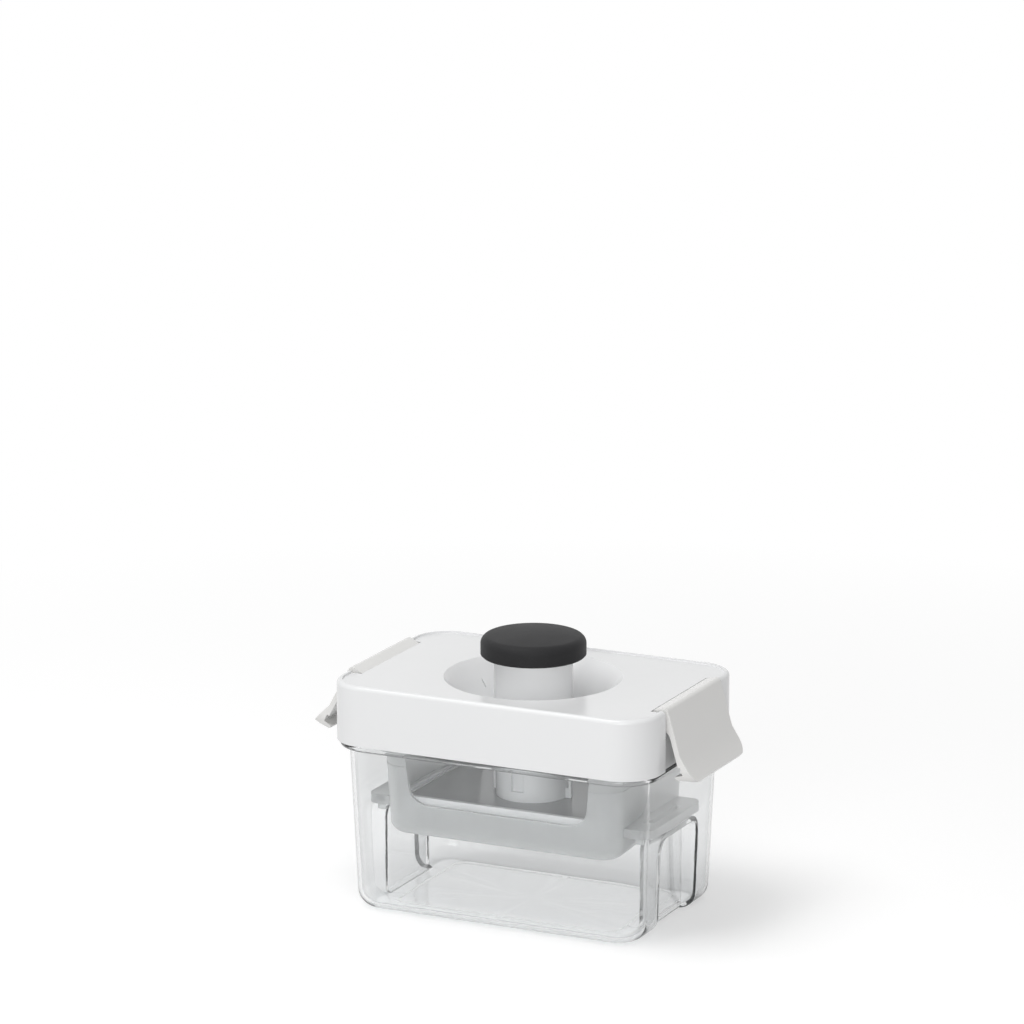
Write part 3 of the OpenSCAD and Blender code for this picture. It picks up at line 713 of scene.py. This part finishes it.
def foot(z, radius):
    """How far a face draws back as it meets the level z = 0 with a quarter circle of the given radius."""
    return radius - np.sqrt(radius ** 2 - np.clip(radius - z, 0, radius) ** 2)


def tub_mesh(tub, half_x, half_y, height):
    """The tub's closed skin: rings round a rectangle with round corners, with both ends pressed in to the
    finger recesses and the raised line broken in the middle of each side."""
    outer, inner = tub_rings(tub, half_x, half_y, height)
    straight = half_y - tub.flange_out - tub.corner - tub.lean
    long = half_x - tub.flange_out - tub.corner - tub.lean
    gap = tub.line_gap / 2
    half, top, corner, wall = tub.recess_width / 2, tub.recess_top, tub.recess_corner, tub.wall
    dense = np.arange(half - corner - BEFORE, half + PAST_SIDE, FINE)
    half_end = np.concatenate([
        gap * END_BREAK,
        np.linspace(END_NEXT, dense[0], 4)[:-1],
        dense,
        np.linspace(dense[-1], straight, 5)[1:],
    ])
    half_side = np.concatenate([gap * SIDE_BREAK, np.linspace(SIDE_NEXT, long, 9)])
    ends = np.concatenate([-half_end[::-1], half_end]) / straight
    sides = np.concatenate([-half_side[::-1], half_side]) / long
    u, v, phi = columns(ends, sides)

    def lay(rings):
        """Points of every ring at every column."""
        a, b, r, z = (ring[:, None] for ring in rings.T)
        x = (a - r) * u + r * np.cos(phi)
        y = (b - r) * v + r * np.sin(phi)
        return np.stack([x, y, np.broadcast_to(z, x.shape)], axis=-1).copy()

    out = lay(outer)
    within = lay(inner)
    face = half_x - tub.flange_out - tub.body_in - tub.recess_depth
    mask = arch(out[..., 1], out[..., 2], half, top, corner, OUTER_EASE)
    press_in(out, mask, face - foot(out[..., 2], FOOT))
    mask = arch(within[..., 1], within[..., 2], half + wall, top + wall, corner + wall, INNER_EASE)
    press_in(within, mask, face - wall - foot(within[..., 2] - tub.floor, FOOT))
    line = within[-LINE_RINGS:]
    near = np.minimum(np.abs(line[..., 0]), np.abs(line[..., 1]))
    lift = line[..., 2] - tub.floor
    line[..., 2] = tub.floor + lift * smoothstep((near - gap) / (0.5 * gap))
    return closed_skin("tub", np.concatenate([out, within]), (0, 0, 0), (0, 0, tub.floor))


# -----------------------------------------------------------------------------
# The spring


def spring_mesh(spring, radius, low, high):
    """A round wire along a coil: centre (R cos 2 pi t, R sin 2 pi t, h(t)) for t turns. The height h goes up
    by the wire's thickness and the gap over the first and over the last turn, and evenly between them."""
    turn = np.linspace(0, spring.turns, int(spring.turns) * COIL_STEPS + 1)
    start = low + spring.wire
    stop = high - spring.wire
    rise = 2 * spring.wire + spring.gap
    knots = [0, 1, spring.turns - 1, spring.turns]
    height = np.interp(turn, knots, [start, start + rise, stop - rise, stop])
    angle = 2 * np.pi * turn[:, None]
    out = np.stack([np.cos(angle), np.sin(angle), 0 * angle], axis=-1)
    upward = np.array([0, 0, 1])
    around = np.linspace(0, 2 * np.pi, COIL_SIDES, endpoint=False)
    centre = radius * out + height[:, None, None] * upward
    ring = np.cos(around)[:, None] * out - np.sin(around)[:, None] * upward
    return closed_skin("coil", centre + spring.wire * ring, centre[0, 0], centre[-1, 0])


# -----------------------------------------------------------------------------
# Operators


class PRESS_OT_tub(bpy.types.Operator):
    """Makes the clear tub with its rounded rim, flange, finger recesses and floor line"""

    bl_idname = "press.tub"
    bl_label = "Tub"

    def execute(self, context):
        low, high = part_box("container")
        mesh = tub_mesh(context.scene.press_tub, high[0], high[1], high[2])
        clear = clear_plastic(context.scene.press_finish.clear_tint)
        even_shading(add_piece("tub", mesh, clear, "container", "clear_plastic", "container"))
        return {"FINISHED"}


class PRESS_OT_basket(bpy.types.Operator):
    """Gives the strainer basket its finish"""

    bl_idname = "press.basket"
    bl_label = "Basket"

    def execute(self, context):
        look = context.scene.press_finish
        dress("basket", frosted_plastic(look.frosted_tint), look.edge)
        return {"FINISHED"}


class PRESS_OT_lid(bpy.types.Operator):
    """Gives the lid, its guide collar and the plunger's white pieces their finish"""

    bl_idname = "press.lid"
    bl_label = "Lid"

    def execute(self, context):
        look = context.scene.press_finish
        white = gloss_plastic("white_plastic", look.white)
        for node in ("lid_shell", "guide_collar", "knob_stem", "press_tube", "press_plate", "spring_seat"):
            dress(node, white, look.edge)
        return {"FINISHED"}


class PRESS_OT_latches(bpy.types.Operator):
    """Gives the latches and their pins their finish"""

    bl_idname = "press.latches"
    bl_label = "Latches"

    def execute(self, context):
        look = context.scene.press_finish
        warm = gloss_plastic("latch_plastic", look.latch_white, 0.24)
        steel = drawn_steel(look.steel)
        for side in ("left", "right"):
            dress(f"latch_{side}", warm, look.edge)
            dress(f"latch_pin_{side}", steel)
        return {"FINISHED"}


class PRESS_OT_spring(bpy.types.Operator):
    """Makes the spring, a coil of round wire"""

    bl_idname = "press.spring"
    bl_label = "Spring"

    def execute(self, context):
        spring = context.scene.press_spring
        low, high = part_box("spring")
        mesh = spring_mesh(spring, high[0] - spring.wire, low[2], high[2])
        steel = drawn_steel(context.scene.press_finish.steel)
        coil = add_piece("coil", mesh, steel, "knob", "spring_steel", "spring")
        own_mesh(coil)
        return {"FINISHED"}


class PRESS_OT_knob(bpy.types.Operator):
    """Gives the knob and the plate's inlay their finish"""

    bl_idname = "press.knob"
    bl_label = "Knob"

    def execute(self, context):
        look = context.scene.press_finish
        dress("knob_grip", soft_grip(look.grip), look.edge)
        dress("plate_pad", gloss_plastic("inlay_plastic", look.inlay, 0.15))
        return {"FINISHED"}


def softbox(name, place, aim, width, height, power):
    """A rectangular lamp at place that faces aim."""
    lamp = bpy.data.lights.new(name, "AREA")
    lamp.shape = "RECTANGLE"
    lamp.size = width
    lamp.size_y = height
    lamp.energy = power
    piece = bpy.data.objects.new(name, lamp)
    piece.location = place
    piece.rotation_euler = (Vector(aim) - Vector(place)).to_track_quat("-Z", "Y").to_euler()
    bpy.context.scene.collection.objects.link(piece)


def seen_directly(finish):
    """1 for rays that see the backdrop: from the camera, in a reflection or through clear plastic."""
    kinds = ("Is Camera Ray", "Is Glossy Ray", "Is Transmission Ray")
    camera, mirrored, through = (finish.node("ShaderNodeLightPath", {}, {}, kind) for kind in kinds)
    return (camera + mirrored + through).clamp()


def make_floor(stage):
    """A wide floor that keeps the object's shadow and goes over to pure white further out, where it is
    seen."""
    finish = Finish("pale_floor")
    card = finish.node("ShaderNodeBsdfDiffuse", {}, {"Color": stage.floor_tone})
    glow = finish.node("ShaderNodeEmission", {}, {"Color": WHITE, "Strength": stage.glow})
    white = finish.node("ShaderNodeEmission", {}, {"Color": WHITE, "Strength": 1.0})
    bright = finish.node("ShaderNodeAddShader", {}, {0: card, 1: glow})
    distance = finish.node("ShaderNodeVectorMath", {"operation": "LENGTH"}, {0: finish.place()}, "Value")
    far = ((distance - stage.white_from) / (stage.white_to - stage.white_from)).clamp()
    finish.done(finish.mix(seen_directly(finish), card, finish.mix(far, bright, white)))
    half = FLOOR_HALF
    corners = [(-half, -half, 0), (half, -half, 0), (half, half, 0), (-half, half, 0)]
    mesh = bpy.data.meshes.new("floor")
    mesh.from_pydata(corners, [], [(0, 1, 2, 3)])
    mesh.materials.append(finish.material)
    floor = bpy.data.objects.new("floor", mesh)
    bpy.context.scene.collection.objects.link(floor)


def make_world(stage):
    """A white room: plain light on the object, and pure white where it is seen directly."""
    world = bpy.data.worlds.new("room")
    bpy.context.scene.world = world
    room = Finish("room", world, "ShaderNodeOutputWorld")
    plain = room.node("ShaderNodeBackground", {}, {"Color": WHITE, "Strength": stage.sky})
    white = room.node("ShaderNodeBackground", {}, {"Color": WHITE, "Strength": 1.0})
    room.done(room.mix(seen_directly(room), plain, white))


def make_camera(stage):
    """A camera that looks down along the pitch at a point on the object's upright axis."""
    level = math.cos(stage.pitch)
    back = Vector((math.sin(stage.yaw) * level, -math.cos(stage.yaw) * level, math.sin(stage.pitch)))
    lens = bpy.data.cameras.new("camera")
    lens.lens = lens.sensor_width * stage.focal_px / PICTURE
    lens.shift_x = -stage.aim_px / PICTURE
    camera = bpy.data.objects.new("camera", lens)
    camera.location = Vector((0, 0, stage.aim_z)) + back * stage.distance
    camera.rotation_euler = (-back).to_track_quat("-Z", "Y").to_euler()
    bpy.context.scene.collection.objects.link(camera)
    bpy.context.scene.camera = camera


class PRESS_OT_stage(bpy.types.Operator):
    """Sets the floor, the lamps, the room and the camera"""

    bl_idname = "press.stage"
    bl_label = "Stage"

    def execute(self, context):
        stage = context.scene.press_stage
        context.scene.view_settings.view_transform = "Standard"
        make_floor(stage)
        make_world(stage)
        softbox("key", place=(-0.45, -0.5, 1.75), aim=(0, 0, 0.1), width=1.0, height=1.0,
                power=stage.key_power)
        softbox("fill", place=(0.45, -1.4, 0.45), aim=(0, 0, 0.2), width=0.9, height=0.7,
                power=stage.fill_power)
        make_camera(stage)
        return {"FINISHED"}


STEPS = (PRESS_OT_stage, PRESS_OT_tub, PRESS_OT_basket, PRESS_OT_lid, PRESS_OT_latches, PRESS_OT_knob,
         PRESS_OT_spring)


class PRESS_PT_panel(bpy.types.Panel):
    """Lists the steps that dress the press"""

    bl_idname = "PRESS_PT_panel"
    bl_label = "Tofu press"
    bl_space_type = "VIEW_3D"
    bl_region_type = "UI"
    bl_category = "Tofu press"

    def draw(self, context):
        for step in STEPS:
            self.layout.operator(step.bl_idname)


CLASSES = (PressFinish, PressTub, PressSpring, PressStage, *STEPS, PRESS_PT_panel)


def register():
    for item in CLASSES:
        bpy.utils.register_class(item)
    bpy.types.Scene.press_finish = PointerProperty(type=PressFinish)
    bpy.types.Scene.press_tub = PointerProperty(type=PressTub)
    bpy.types.Scene.press_spring = PointerProperty(type=PressSpring)
    bpy.types.Scene.press_stage = PointerProperty(type=PressStage)


def unregister():
    del bpy.types.Scene.press_stage
    del bpy.types.Scene.press_spring
    del bpy.types.Scene.press_tub
    del bpy.types.Scene.press_finish
    for item in reversed(CLASSES):
        bpy.utils.unregister_class(item)


def main():
    """Dresses the press step by step."""
    register()
    for step in STEPS:
        group, name = step.bl_idname.split(".")
        getattr(getattr(bpy.ops, group), name)()
    bpy.context.view_layer.update()


if __name__ == "__main__":
    main()
